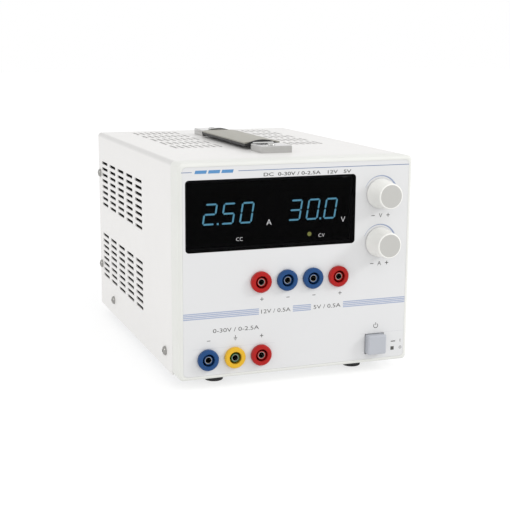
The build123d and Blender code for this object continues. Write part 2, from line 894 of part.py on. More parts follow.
with BuildPart() as transformer_clamp:
    with BuildSketch(facing(core_y)):
        with Locations((core_x, deck + (core_height + clamp_thickness) / 2)):
            Rectangle(2 * clamp_half, core_height + clamp_thickness)
        with Locations((core_x, deck + core_height / 2)):
            Rectangle(core_width, core_height, mode=Mode.SUBTRACT)
        with Locations(
            *[(core_x + sx * (clamp_half + clamp_foot / 2), deck + clamp_thickness / 2) for sx in (-1, 1)]
        ):
            Rectangle(clamp_foot, clamp_thickness)
    extrude(amount=clamp_width / 2, both=True)
    with BuildSketch(Plane.XY.offset(deck)):
        with Locations(*clamp_spots):
            Circle(screw_radius)
    extrude(amount=clamp_thickness, mode=Mode.SUBTRACT)
finish(transformer_clamp.part, "transformer_clamp")

# ---------------------------------------------------------------- heatsink
with BuildPart() as heatsink:
    with BuildSketch(facing(back + sink_base)):
        with Locations((0, sink_z)):
            Rectangle(sink_width, sink_height)
    extrude(amount=sink_base)
    with BuildSketch(facing(back + sink_stand)):
        with Locations((0, sink_z)):
            with GridLocations((sink_width - fin_thickness) / (fin_count - 1), 0, fin_count, 1):
                Rectangle(fin_thickness, sink_height)
    extrude(amount=sink_stand - sink_base / 2)
    with BuildSketch(facing(back)):
        with Locations(*sink_spots, *transistor_spots):
            Circle(screw_radius)
    extrude(amount=-sink_thread, mode=Mode.SUBTRACT)
finish(heatsink.part, "heatsink")

with BuildPart() as pass_transistors:
    with BuildSketch(facing(back)):
        with Locations(*transistor_spots):
            Rectangle(transistor_width, transistor_height)
            Circle(screw_hole, mode=Mode.SUBTRACT)
    extrude(amount=transistor_thickness)
    with BuildSketch(facing(back - sheet - lead_thickness)):
        for x, z in transistor_spots:
            with Locations((x, z - (transistor_height + transistor_leg) / 2)):
                with GridLocations(lead_pitch, 0, 3, 1):
                    Rectangle(lead_width, transistor_leg)
    extrude(amount=lead_thickness)
finish(pass_transistors.part, "pass_transistors")

# ---------------------------------------------------------------- mains inlet and fuse
cavity_z = inlet_z + cavity_lift
drawer_z = inlet_z + drawer_lift
cavity_floor = back + inlet_flange - cavity_depth

with BuildPart() as mains_inlet:
    with BuildSketch(facing(back + inlet_flange)):
        with Locations((inlet_x, inlet_z)):
            RectangleRounded(inlet_width, inlet_height, inlet_round)
    extrude(amount=inlet_flange)
    chamfer(mains_inlet.faces().sort_by(Axis.Y)[-1].edges(), inlet_edge)
    with BuildSketch(facing(back)):
        with Locations((inlet_x, inlet_z)):
            Rectangle(inlet_body_width, inlet_body_height)
    extrude(amount=inlet_body_depth)
    with BuildSketch(facing(back + inlet_flange)):
        with Locations((inlet_x, cavity_z)):
            Rectangle(cavity_width, cavity_height)
        with Locations((inlet_x, drawer_z)):
            Rectangle(drawer_width + 2 * run_gap, drawer_height + 2 * run_gap)
    extrude(amount=cavity_depth, mode=Mode.SUBTRACT)
    with BuildSketch(facing(back + inlet_flange)):
        with Locations((inlet_x, drawer_z)):
            Rectangle(drawer_width + 2 * run_gap, drawer_height + 2 * run_gap)
    extrude(amount=drawer_depth + run_gap, mode=Mode.SUBTRACT)
    with BuildSketch(facing(back + inlet_flange)):
        with Locations(*inlet_screws):
            Circle(screw_radius)
    extrude(amount=inlet_flange, mode=Mode.SUBTRACT)
    with BuildSketch(facing(cavity_floor)):
        with Locations(*[(inlet_x + sx * pin_pitch, cavity_z - pin_offset) for sx in (-1, 1)]):
            Rectangle(pin_width, pin_height)
        with Locations((inlet_x, cavity_z + pin_offset)):
            Rectangle(pin_width, pin_height)
    extrude(amount=inlet_body_depth, mode=Mode.SUBTRACT)
finish(mains_inlet.part, "mains_inlet")

with BuildPart() as inlet_pins:
    with BuildSketch(facing(cavity_floor + pin_length)):
        with Locations(*[(inlet_x + sx * pin_pitch, cavity_z - pin_offset) for sx in (-1, 1)]):
            Rectangle(pin_width, pin_height)
        with Locations((inlet_x, cavity_z + pin_offset)):
            Rectangle(pin_width, pin_height)
    extrude(amount=pin_length + inlet_body_depth + inlet_flange - cavity_depth + pin_tail)
finish(inlet_pins.part, "inlet_pins")

drawer_front = back + inlet_flange + drawer_face
drawer_inner = back + inlet_flange - drawer_depth
with BuildPart() as fuse_drawer:
    with BuildSketch(facing(back + inlet_flange)):
        with Locations((inlet_x, drawer_z)):
            Rectangle(drawer_width, drawer_height)
    extrude(amount=drawer_depth)
    with BuildSketch(facing(drawer_front)):
        with Locations((inlet_x, drawer_z)):
            Rectangle(drawer_width, drawer_height)
    extrude(amount=drawer_face)
    chamfer(fuse_drawer.faces().sort_by(Axis.Y)[-1].edges(), drawer_edge)
    with BuildSketch(Plane.XY.offset(drawer_z - fuse_radius)):
        with Locations((inlet_x, drawer_inner + drawer_bar + fuse_radius)):
            Rectangle(fuse_length, 2 * fuse_radius)
    extrude(amount=drawer_height, mode=Mode.SUBTRACT)
finish(fuse_drawer.part, "fuse_drawer")

with BuildPart() as fuse:
    with BuildSketch(side_plane(inlet_x)):
        with Locations((drawer_inner + drawer_bar + fuse_radius, drawer_z)):
            Circle(fuse_radius)
    extrude(amount=fuse_length / 2, both=True)
finish(fuse.part, "fuse")

# ---------------------------------------------------------------- handle
ends = {"front": (handle_front, 1), "rear": (handle_back, -1)}
for name, (y, way) in ends.items():
    middle = y + way * bracket_length / 2
    with BuildPart() as bracket:
        with BuildSketch(Plane.XY.offset(top)):
            with Locations((0, middle)):
                Rectangle(bracket_width, bracket_length)
        extrude(amount=bracket_height)
        fillet(bracket.faces().sort_by(Axis.Z)[-1].edges(), bracket_round)
        with BuildSketch(Plane.XY.offset(top)):
            with Locations((0, middle + way * bracket_wall)):
                Rectangle(bracket_width - 2 * bracket_wall, bracket_length)
        extrude(amount=bracket_height - bracket_wall, mode=Mode.SUBTRACT)
        with BuildSketch(Plane.XY.offset(top)):
            with Locations((0, middle)):
                Circle(screw_radius)
        extrude(amount=2 * bracket_height, mode=Mode.SUBTRACT)
    finish(bracket.part, f"{name}_handle_bracket")

grip_front = handle_front + bracket_length + grip_gap
grip_back = handle_back - bracket_length - grip_gap
strap_low = top + strap_float
strap_high = top + grip_rise + grip_slab
strap_turn = bracket_length + strap_exit


def strap_side(lift):
    """The strap's side outline at one face, from the front end to the back end."""
    return [
        (handle_front + bracket_wall + strap_end, strap_low + lift),
        (handle_front + strap_turn, strap_low + lift),
        (grip_front - strap_exit, strap_high + lift),
        (grip_back + strap_exit, strap_high + lift),
        (handle_back - strap_turn, strap_low + lift),
        (handle_back - bracket_wall - strap_end, strap_low + lift),
    ]


with BuildPart() as handle_strap:
    with BuildSketch(side_plane(0)):
        with BuildLine():
            Polyline(*strap_side(0), *reversed(strap_side(strap_thickness)), close=True)
        make_face()
    extrude(amount=strap_width / 2, both=True)
    with BuildSketch(Plane.XY.offset(strap_low)):
        with Locations(*handle_spots):
            SlotOverall(strap_slot, 2 * (screw_radius + run_gap), rotation=90)
    extrude(amount=strap_thickness, mode=Mode.SUBTRACT)
finish(handle_strap.part, "handle_strap")


def grip_arch(low, crown):
    """Crowned cross-section of the grip, between two heights above the case."""
    half = grip_width / 2
    with BuildSketch(Plane.XZ) as arch:
        with BuildLine():
            Polyline(
                (-half, top + low + grip_edge),
                (-half, top + low),
                (half, top + low),
                (half, top + low + grip_edge),
            )
            ThreePointArc(
                (half, top + low + grip_edge), (0, top + crown), (-half, top + low + grip_edge)
            )
        make_face()
    return arch.sketch


crown = grip_rise + grip_crown

with BuildPart() as handle_grip_base:
    with BuildSketch(facing(grip_back)):
        with Locations((0, top + grip_rise + grip_slab / 2)):
            Rectangle(grip_width, grip_slab)
    extrude(amount=grip_back - grip_front)
    for y in (grip_front + grip_end, grip_back):
        with BuildSketch(facing(y)):
            add(grip_arch(grip_rise, crown))
        extrude(amount=grip_end)
    with BuildSketch(facing(grip_back)):
        with Locations((0, strap_high + strap_thickness / 2)):
            Rectangle(strap_width + fit_gap, strap_thickness)
    extrude(amount=grip_back - grip_front, mode=Mode.SUBTRACT)
finish(handle_grip_base.part, "handle_grip_base")

with BuildPart() as handle_grip:
    with BuildSketch(facing(grip_back - grip_end)):
        add(grip_arch(grip_rise + grip_slab, crown - grip_lip))
        with Locations((0, strap_high + strap_thickness / 2)):
            Rectangle(strap_width + fit_gap, strap_thickness, mode=Mode.SUBTRACT)
    extrude(amount=grip_back - grip_front - 2 * grip_end)
finish(handle_grip.part, "handle_grip")

# ---------------------------------------------------------------- fasteners


def write_screws(name, screws):
    """Write a set of equal screws as one node."""
    with BuildPart() as group:
        add(screws)
    finish(group.part, name)


side_spots = [(y, bottom + side_screw_height) for y in low_side_screws]
side_spots += [(back - back_screw_from_back, z) for z in back_side_screws]
cover_screw = pan_screw(cover_screw_length)
cover_seats = [
    screw
    for sx in (-1, 1)
    for screw in seated(cover_screw, [(sx * case_width / 2, y, z) for y, z in side_spots], (sx, 0, 0), (0, 1, 0))
]
write_screws("cover_screws", cover_seats)

short_screw = pan_screw(short_screw_length, head=small_head_radius, height=small_head_height)
short_seats = seated(short_screw, [(x, y, deck + sheet) for x, y in plate_screws], (0, 0, 1))
short_seats += seated(short_screw, [(x, y, board_top) for x, y in board_spots], (0, 0, 1))
short_seats += seated(short_screw, [(x, y, deck + clamp_thickness) for x, y in clamp_spots], (0, 0, 1))
short_seats += seated(short_screw, [(x, y, deck_low) for x, y in panel_screws], (0, 0, -1))
short_seats += seated(short_screw, [(x, module_back + board_thickness, z) for x, z in standoff_spots], (0, 1, 0))
short_seats += seated(short_screw, [(x, back - sheet, z) for x, z in sink_spots], (0, -1, 0))
write_screws("chassis_screws", short_seats)

long_screw = pan_screw(long_screw_length, head=small_head_radius, height=small_head_height)
long_seats = seated(long_screw, [(x, back + inlet_flange, z) for x, z in inlet_screws], (0, 1, 0))
long_seats += seated(long_screw, [(x, back - transistor_thickness, z) for x, z in transistor_spots], (0, -1, 0))
write_screws("panel_screws", long_seats)

foot_screw = pan_screw(foot_screw_length, head=small_head_radius, height=small_head_height)
write_screws("foot_screws", seated(foot_screw, [(x, y, foot_screw_sink) for x, y in foot_spots], (0, 0, -1)))

handle_screw = pan_screw(handle_screw_length, head=small_head_radius, height=handle_head_height)
write_screws(
    "handle_screws", seated(handle_screw, [(x, y, top + bracket_height) for x, y in handle_spots], (0, 0, 1))
)
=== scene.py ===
"""Bench power supply: finishes, printed front, lit meters and cross-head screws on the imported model.

Millimetres in the tables below, metres in the scene. x is measured from the case's left edge
and z from its underside, both seen from the front.
"""

from math import cos, pi, radians, sin, tan

import bmesh
import bpy
from mathutils import Matrix, Vector


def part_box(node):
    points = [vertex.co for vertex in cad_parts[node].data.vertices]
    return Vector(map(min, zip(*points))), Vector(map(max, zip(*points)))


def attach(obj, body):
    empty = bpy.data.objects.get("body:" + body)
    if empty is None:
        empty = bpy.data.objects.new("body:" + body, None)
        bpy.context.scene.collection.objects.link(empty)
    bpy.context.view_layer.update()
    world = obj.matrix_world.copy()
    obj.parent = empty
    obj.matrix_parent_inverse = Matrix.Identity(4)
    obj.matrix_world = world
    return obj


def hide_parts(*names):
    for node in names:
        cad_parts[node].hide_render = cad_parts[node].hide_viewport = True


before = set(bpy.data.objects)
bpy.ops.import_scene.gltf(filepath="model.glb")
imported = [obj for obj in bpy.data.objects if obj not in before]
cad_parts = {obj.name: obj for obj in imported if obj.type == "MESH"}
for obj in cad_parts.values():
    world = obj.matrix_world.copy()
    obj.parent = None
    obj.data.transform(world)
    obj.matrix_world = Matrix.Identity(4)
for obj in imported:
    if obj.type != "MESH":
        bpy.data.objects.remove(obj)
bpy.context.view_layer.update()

MM = 0.001
bezel_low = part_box("front_bezel")[0]
left_edge, underside = bezel_low.x, bezel_low.z
corner = Vector((left_edge, 0, underside))
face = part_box("front_overlay")[0].y


# ---------------------------------------------------------------- wiring
class Wire:
    """One output in a node tree; arithmetic on it adds Math nodes."""

    def __init__(self, desk, socket):
        self.desk = desk
        self.socket = socket

    def maths(self, operation, first, second):
        return self.desk.node("ShaderNodeMath", {"operation": operation}, {0: first, 1: second})

    def __add__(self, other):
        return self.maths("ADD", self, other)

    def __sub__(self, other):
        return self.maths("SUBTRACT", self, other)

    def __rsub__(self, other):
        return self.maths("SUBTRACT", other, self)

    def __mul__(self, other):
        return self.maths("MULTIPLY", self, other)

    def __gt__(self, other):
        return self.maths("GREATER_THAN", self, other)

    def __lt__(self, other):
        return self.maths("LESS_THAN", self, other)


class Desk:
    """A node tree that is being wired up."""

    def __init__(self, tree):
        self.tree = tree

    def node(self, kind, settings=None, inputs=None, out=0):
        """Add a node: its settings first, then its sockets' values or links. Returns one output."""
        made = self.tree.nodes.new(kind)
        for name, value in (settings or {}).items():
            if name == "stops":
                ramp = made.color_ramp.elements
                while len(ramp) < len(value):
                    ramp.new(0.5)
                for stop, (place, colour) in zip(ramp, value):
                    stop.position = place
                    stop.color = (*colour, 1)
            else:
                setattr(made, name, value)
        for key, value in (inputs or {}).items():
            self.plug(self.pick(made.inputs, key), value)
        return Wire(self, self.pick(made.outputs, out))

    def pick(self, sockets, key):
        """A socket by its number, identifier or name."""
        if isinstance(key, int):
            return sockets[key]
        for socket in sockets:
            if socket.identifier == key:
                return socket
        return sockets[key]

    def plug(self, socket, value):
        if isinstance(value, Wire):
            self.tree.links.new(value.socket, socket)
        else:
            socket.default_value = value


def rgba(colour):
    return (*colour, 1.0)


class Finish(Desk):
    """A procedural material. Patterns are laid out in object space, in metres."""

    def __init__(self, name, **constants):
        self.material = bpy.data.materials.new(name)
        self.material.use_nodes = True
        super().__init__(self.material.node_tree)
        self.shader = self.tree.nodes["Principled BSDF"]
        self.where = self.node("ShaderNodeTexCoord", out="Object")
        self.set(**constants)

    def set(self, **values):
        """Set the shader's sockets; an underscore in a name stands for a space."""
        for name, value in values.items():
            if isinstance(value, tuple):
                value = rgba(value)
            self.plug(self.shader.inputs[name.replace("_", " ")], value)
        return self

    def stretched(self, x, y, z, turn=(0, 0, 0)):
        sockets = {"Vector": self.where, "Scale": (x, y, z), "Rotation": turn}
        return self.node("ShaderNodeMapping", None, sockets)

    def noise(self, scale, detail=3.0, coarse=0.5, where=None):
        sockets = {"Vector": where or self.where, "Scale": scale, "Detail": detail, "Roughness": coarse}
        return self.node("ShaderNodeTexNoise", {"normalize": True}, sockets)

    def cells(self, scale, feature="F1", out="Distance", where=None, jitter=1.0):
        sockets = {"Vector": where or self.where, "Scale": scale, "Randomness": jitter}
        return self.node("ShaderNodeTexVoronoi", {"feature": feature}, sockets, out)

    def axis(self, name):
        return self.node("ShaderNodeSeparateXYZ", None, {0: self.where}, name)

    def between(self, mask, low, high):
        """A number that goes from low to high as the mask goes from 0 to 1."""
        return mask * (high - low) + low

    def tint(self, mask, dark, light):
        sockets = {"Factor_Float": mask}
        for key, colour in (("A_Color", dark), ("B_Color", light)):
            sockets[key] = colour if isinstance(colour, Wire) else rgba(colour)
        return self.node("ShaderNodeMix", {"data_type": "RGBA"}, sockets, "Result_Color")

    def step(self, value, low, high):
        """0 below low, 1 above high, smooth between."""
        return self.node(
            "ShaderNodeMapRange",
            {"interpolation_type": "SMOOTHSTEP"},
            {"Value": value, "From Min": low, "From Max": high},
        )

    def relief(self, height, depth, under=None):
        """A bump of that depth in metres, laid over another one."""
        sockets = {"Height": height, "Distance": depth, "Strength": 1.0}
        if under:
            sockets["Normal"] = under
        return self.node("ShaderNodeBump", None, sockets)


bend_reach = 0.003


def shade(colour, factor):
    return tuple(min(1.0, c * factor) for c in colour)


def moulded(name, colour, rough=0.4, grain=2600, depth=0.00002, drift=0.05, coat=0.0, **constants):
    """Injection-moulded plastic: fine spark-eroded grain, faint flow marks and handling polish."""
    made = Finish(name, Coat_Roughness=0.12, **constants)
    flow = made.noise(38, 2.0)
    skin = made.noise(grain, 2.0, 0.6)
    made.set(
        Base_Color=made.tint(flow, shade(colour, 1 - drift), shade(colour, 1 + drift * 0.6)),
        Roughness=made.between(made.noise(160, 3.0), rough - 0.07, rough + 0.07),
        Normal=made.relief(skin, depth),
    )
    if coat:
        made.set(Coat_Weight=coat)
    return made.material


def painted(name, colour, rough=0.42, peel=900, depth=0.00003, inside=None):
    """Baked powder paint: orange peel, a few dark specks, slightly uneven gloss.

    inside holds the lowest and highest corner of the hollow. Every face in there is coloured a near-black
    painted shade, and a painted shade greys the paint where the sheet bends at the hollow's upper edges.
    """
    made = Finish(name, Coat_Roughness=0.25)
    skin = made.noise(peel, 1.5, 0.4)
    cloud = made.noise(14, 3.0)
    speck = made.step(made.noise(2200, 1.0), 0.70, 0.76)
    even = made.tint(cloud, shade(colour, 0.97), shade(colour, 1.015))
    base = made.tint(speck * 0.25, even, shade(colour, 0.72))
    if inside:
        low, high = inside
        # Painted shade: the paint is greyed along the hollow's upper bends, standing in for the shade that
        # falls on the bent sheet.
        right_bend = made.step(made.axis("X"), high.x - bend_reach, high.x)
        left_bend = 1 - made.step(made.axis("X"), low.x, low.x + bend_reach)
        upper = made.step(made.axis("Z"), high.z - bend_reach, high.z - 0.0005)
        base = made.tint(upper * (right_bend + left_bend) * 0.8, base, shade(colour, 0.78))
        # Painted shade: every face inside the hollow is coloured near black in place of the shade in
        # there, which darkens what shows through the slots.
        hidden = (made.axis("X") > low.x) * (made.axis("X") < high.x)
        hidden = hidden * (made.axis("Z") < high.z) * (made.axis("Y") < high.y)
        painted_inner_shade = made.tint(cloud, (0.035, 0.035, 0.036), (0.06, 0.06, 0.062))
        base = made.tint(hidden, base, painted_inner_shade)
    made.set(
        Base_Color=base,
        Roughness=made.between(made.noise(90, 4.0), rough - 0.06, rough + 0.08),
        Coat_Weight=0.12,
        Normal=made.relief(made.noise(3600, 1.0), depth * 0.3, made.relief(skin, depth)),
    )
    return made.material


def metal(name, colour, rough=0.25, brush=(1, 1, 1), scale=900, depth=0.000008, spread=0.1):
    """Bare or plated metal with drawn or brushed streaks along the axis given the small number."""
    made = Finish(name, Metallic=1.0)
    streak = made.noise(scale, 3.0, 0.6, made.stretched(*brush))
    smear = made.noise(55, 3.0)
    made.set(
        Base_Color=made.tint(smear, shade(colour, 0.9), shade(colour, 1.05)),
        Roughness=made.between(streak * 0.6 + smear * 0.4, rough - spread, rough + spread),
        Normal=made.relief(streak, depth),
    )
    return made.material


def galvanised(name):
    """Zinc-coated sheet with its crystal spangle."""
    made = Finish(name, Metallic=1.0)
    flake = made.node("ShaderNodeSeparateColor", None, {0: made.cells(160, out="Color")}, "Red")
    edge = made.step(made.cells(160, "DISTANCE_TO_EDGE"), 0.0, 0.12)
    made.set(
        Base_Color=made.tint(flake, (0.50, 0.52, 0.54), (0.70, 0.72, 0.74)),
        Roughness=made.between(flake, 0.30, 0.52),
        Normal=made.relief(edge, 0.00001, made.relief(made.noise(2400), 0.000006)),
    )
    return made.material


def rubber(name, colour, rough=0.72):
    """Matt rubber: pores, a dusty bloom and small scuffs."""
    made = Finish(name)
    pores = made.cells(2400)
    bloom = made.step(made.noise(70, 4.0), 0.45, 0.75)
    made.set(
        Base_Color=made.tint(bloom * 0.5, colour, shade(colour, 2.4)),
        Roughness=made.between(made.noise(400), rough - 0.08, rough + 0.1),
        Normal=made.relief(pores, 0.00004),
    )
    return made.material


def inked(name, colour, rough=0.5):
    """Screen-printed ink: dense, with the faint mesh texture of the screen and thin spots."""
    made = Finish(name)
    thin = made.noise(1400, 2.0)
    made.set(
        Base_Color=made.tint(thin, shade(colour, 0.88), shade(colour, 1.1)),
        Roughness=made.between(thin, rough - 0.05, rough + 0.1),
        Normal=made.relief(made.cells(5000), 0.000004),
    )
    return made.material


def lit(name, core, edge, strength):
    """A lit display segment: brighter in the middle of its diffuser, faintly mottled."""
    made = Finish(name, Emission_Strength=strength, Roughness=0.35)
    mottle = made.noise(520, 2.0)
    made.set(
        Base_Color=made.tint(mottle, shade(edge, 0.3), shade(core, 0.3)),
        Emission_Color=made.tint(mottle, edge, core),
        Normal=made.relief(made.noise(3000), 0.00001),
    )
    return made.material


# ---------------------------------------------------------------- finishes
skin = Vector((0.00095, 0.0, 0.00095))
cover_low, cover_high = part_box("cover")
# The hollow inside the cover, whose faces the cover's paint colours with near-black painted shade.
hollow = (cover_low + skin, cover_high - skin)


def socket_plastic(colour_name, colour, drift=0.10):
    """Dull-gloss moulding of an output socket."""
    name = f"{colour_name}_socket_plastic"
    return moulded(name, colour, 0.30, 1800, 0.000008, drift, Specular_IOR_Level=0.2)


finishes = {
    "bezel_plastic": moulded("ivory_bezel_plastic", (0.66, 0.665, 0.635), 0.42, depth=0.00003),
    "case_paint": painted("off_white_powder_paint", (0.70, 0.69, 0.678), inside=hollow),
    "zinc_steel": galvanised("spangled_zinc_steel"),
    "foot_rubber": rubber("black_foot_rubber", (0.012, 0.012, 0.013)),
    "blue_plastic": socket_plastic("blue", (0.011, 0.056, 0.175)),
    "red_plastic": socket_plastic("red", (0.36, 0.007, 0.006)),
    "yellow_plastic": socket_plastic("yellow", (0.66, 0.39, 0.022), 0.08),
    "green_plastic": socket_plastic("green", (0.02, 0.11, 0.03)),
    "contact_metal": metal("nickel_contact_metal", (0.36, 0.35, 0.32), 0.38, (1, 0.1, 1)),
    "knob_plastic": moulded("cream_knob_plastic", (0.76, 0.757, 0.725), 0.38, 2200, 0.00002),
    "shaft_aluminium": metal("turned_aluminium", (0.80, 0.80, 0.80), 0.3, (1, 12, 1), 300),
    "button_plastic": moulded("grey_button_plastic", (0.395, 0.410, 0.445), 0.42, 2400, 0.00002),
    "black_plastic": moulded("black_moulded_plastic", (0.018, 0.018, 0.019), 0.42, 2600, 0.00003, 0.2),
    "meter_plastic": moulded("dark_meter_plastic", (0.008, 0.012, 0.018), 0.45, 2600, 0.00002, 0.2),
    "red_lens": moulded("unlit_red_lens", (0.12, 0.006, 0.006), 0.18, 1500, 0.000006, 0.15, 0.7),
    "relay_plastic": moulded("blue_relay_plastic", (0.02, 0.10, 0.32), 0.35, 2400, 0.00002, 0.1),
    "spring_steel": metal("spring_steel_strap", (0.62, 0.62, 0.61), 0.28, (1, 0.05, 1)),
    "chrome_plate": metal(
        "bright_chrome_plate", (0.50, 0.495, 0.485), 0.10, (0.1, 1, 1), 700, 0.000004, 0.05
    ),
    "screw_steel": metal("zinc_screw_steel", (0.50, 0.50, 0.49), 0.28, (1, 1, 1), 700, 0.000006),
    "grip_black": rubber("black_grip_plastic", (0.014, 0.014, 0.014), 0.5),
    "grip_grey": moulded("greige_grip_plastic", (0.30, 0.29, 0.25), 0.45, 1800, 0.00004, 0.06),
}


def printed_face():
    """Matt printed foil: fine velvet grain, very slightly warm, with gentle cloudiness."""
    made = Finish("matt_front_foil")
    velvet = made.cells(4200)
    cloud = made.noise(9, 2.0)
    made.set(
        Base_Color=made.tint(cloud, (0.600, 0.602, 0.606), (0.635, 0.636, 0.640)),
        Roughness=made.between(made.noise(260, 3.0), 0.34, 0.46),
        Normal=made.relief(velvet, 0.00001, made.relief(made.noise(120, 1.0), 0.00002)),
    )
    return made.material


def smoked_acrylic():
    """Dark tinted window: polished face, faint hairline scuffs, a little light through it."""
    made = Finish("smoked_acrylic", IOR=1.49, Alpha=0.82, Specular_IOR_Level=0.03)
    hairline = made.noise(160, 6.0, 0.7, made.stretched(1, 1, 9, (0, 0.5, 0)))
    scuff = made.step(hairline, 0.58, 0.74)
    made.set(
        Roughness=made.between(scuff, 0.05, 0.14),
        Base_Color=made.tint(made.noise(30), (0.0004, 0.0004, 0.0005), (0.0009, 0.0009, 0.0011)),
        Normal=made.relief(made.noise(24, 1.0), 0.000006),
    )
    return made.material


def turned_cap():
    """Flat end disc of a knob: satin, with a very fine grain."""
    made = Finish("satin_cap_plastic")
    ring = made.noise(900, 2.0, 0.5, made.stretched(1, 0.2, 1))
    made.set(
        Base_Color=made.tint(made.noise(60), (0.425, 0.420, 0.400), (0.455, 0.450, 0.430)),
        Roughness=made.between(ring, 0.38, 0.52),
        Normal=made.relief(ring, 0.000012),
    )
    return made.material


def laminate():
    """Green circuit laminate: copper runs under the mask, tinned pads and a weave in the glass."""
    made = Finish("green_board_laminate", Coat_Weight=0.5, Coat_Roughness=0.15)
    runs = made.node(
        "ShaderNodeTexBrick",
        {"offset": 0.37, "squash": 0.6, "squash_frequency": 3},
        {"Vector": made.where, "Scale": 130.0, "Mortar Size": 0.03, "Row Height": 0.4, "Brick Width": 1.3},
        "Fac",
    )
    pads = made.cells(210, jitter=0.5) < 0.14
    weave = made.noise(1700, 2.0)
    green = made.tint(runs, (0.01, 0.085, 0.035), (0.02, 0.15, 0.06))
    made.set(
        Base_Color=made.tint(pads, green, (0.62, 0.60, 0.55)),
        Metallic=pads * 0.9,
        Roughness=made.between(weave, 0.28, 0.4),
        Normal=made.relief(runs, 0.00003, made.relief(weave, 0.00001)),
    )
    return made.material


def sleeve():
    """Shrunk capacitor sleeve with its pale polarity stripe."""
    made = Finish("capacitor_sleeve_film", Coat_Weight=0.3, Coat_Roughness=0.2)
    ripple = made.noise(260, 2.0, 0.5, made.stretched(1, 1, 0.2))
    made.set(
        Base_Color=made.tint(made.noise(50), (0.012, 0.02, 0.05), (0.02, 0.03, 0.07)),
        Roughness=made.between(ripple, 0.25, 0.4),
        Normal=made.relief(ripple, 0.00005),
    )
    return made.material


def laminated_core():
    """Stacked transformer plates, varnished."""
    made = Finish("varnished_core_plates", Metallic=0.7, Coat_Weight=0.35)
    plates = made.node(
        "ShaderNodeTexWave",
        {"bands_direction": "Y", "wave_profile": "SAW"},
        {"Vector": made.where, "Scale": 320.0, "Distortion": 0.4, "Detail": 1.0},
        "Fac",
    )
    made.set(
        Base_Color=made.tint(plates, (0.16, 0.14, 0.12), (0.30, 0.28, 0.25)),
        Roughness=made.between(made.noise(300), 0.35, 0.5),
        Normal=made.relief(plates, 0.00006),
    )
    return made.material


def tape():
    """Yellow polyester winding tape with its overlapped turns."""
    made = Finish("yellow_winding_tape", Coat_Weight=0.3, Coat_Roughness=0.2)
    laps = made.node(
        "ShaderNodeTexWave",
        {"bands_direction": "Z", "wave_profile": "SAW"},
        {"Vector": made.stretched(1, 1, 1, (0.1, 0, 0)), "Scale": 36.0, "Distortion": 0.6},
        "Fac",
    )
    made.set(
        Base_Color=made.tint(laps, (0.60, 0.40, 0.05), (0.78, 0.56, 0.10)),
        Roughness=made.between(made.noise(200), 0.25, 0.4),
        Normal=made.relief(laps, 0.00006),
    )
    return made.material


def anodised():
    """Black anodised extrusion: die lines along the fins, greyer where the edges rub."""
    made = Finish("black_anodised_extrusion", Metallic=0.6)
    lines = made.noise(2200, 2.0, 0.6, made.stretched(1, 1, 0.02))
    rub = made.step(made.noise(90, 5.0, 0.7), 0.62, 0.8)
    made.set(
        Base_Color=made.tint(rub * 0.5, (0.016, 0.016, 0.017), (0.10, 0.10, 0.10)),
        Roughness=made.between(lines, 0.34, 0.5),
        Normal=made.relief(lines, 0.00002),
    )
    return made.material


def fuse_glass():
    """Glass fuse body between its plated ends."""
    made = Finish("fuse_glass_and_ends", Coat_Weight=0.6)
    cap_length = 0.005
    low, high = (end.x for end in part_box("fuse"))
    along = made.axis("X")
    ends = (along < low + cap_length) + (along > high - cap_length)
    made.set(
        Base_Color=made.tint(ends, (0.62, 0.70, 0.68), (0.72, 0.72, 0.70)),
        Metallic=ends * 0.95,
        Roughness=made.between(made.noise(400), 0.08, 0.2),
    )
    return made.material


def lit_lens():
    """A small lens lit from behind: only its domed tip glows, the barrel stays dim."""
    dome_depth = 0.0011
    made = Finish("lit_lime_lens", Roughness=0.2, Emission_Strength=7.5)
    tip = made.axis("Y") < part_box("constant_voltage_led")[0].y + dome_depth
    glow = made.tint(made.noise(700), (0.62, 0.66, 0.16), (0.80, 0.84, 0.30))
    made.set(
        Base_Color=(0.10, 0.12, 0.03),
        Emission_Color=made.tint(tip, (0.012, 0.014, 0.003), glow),
        Normal=made.relief(made.noise(1500), 0.00001),
    )
    return made.material


finishes["green_lens"] = lit_lens()
finishes["overlay_print"] = printed_face()
finishes["smoked_window"] = smoked_acrylic()
finishes["knob_cap_plastic"] = turned_cap()
finishes["board_laminate"] = laminate()
finishes["capacitor_sleeve"] = sleeve()
finishes["core_steel"] = laminated_core()
finishes["winding_tape"] = tape()
finishes["black_anodised"] = anodised()
finishes["fuse_glass"] = fuse_glass()

blue_ink = inked("slate_blue_ink", (0.09, 0.15, 0.29))
band_ink = inked("pale_blue_ink", (0.30, 0.35, 0.48))
ring_ink = inked("ring_blue_ink", (0.24, 0.29, 0.42))
dark_ink = inked("dark_grey_ink", (0.06, 0.06, 0.055))
mark_blue_ink = inked("bright_blue_ink", (0.07, 0.22, 0.44))
faint_ink = inked("faint_grey_ink", (0.55, 0.55, 0.57))
white_ink = inked("white_window_ink", (0.72, 0.72, 0.74))
segment_glow = lit("lit_blue_segment", (0.30, 0.80, 1.0), (0.16, 0.54, 0.90), 11.5)
segment_idle = moulded("idle_segment_plastic", (0.02, 0.03, 0.04), 0.4, 2400, 0.00001)

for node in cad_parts.values():
    for holder in node.material_slots:
        named = holder.material.name.split(".")[0]
        holder.material = finishes[named]

# The rear panel's inner side, all but its outer face, gets the same near-black painted shade as the inside
# of the cover.
paint_depth = 0.0003
rear_inside = Vector((cover_high.x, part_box("rear_panel")[1].y - paint_depth, cover_high.z))
rear_paint = painted("rear_powder_paint", (0.66, 0.65, 0.638), inside=(cover_low, rear_inside))
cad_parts["rear_panel"].material_slots[0].material = rear_paint


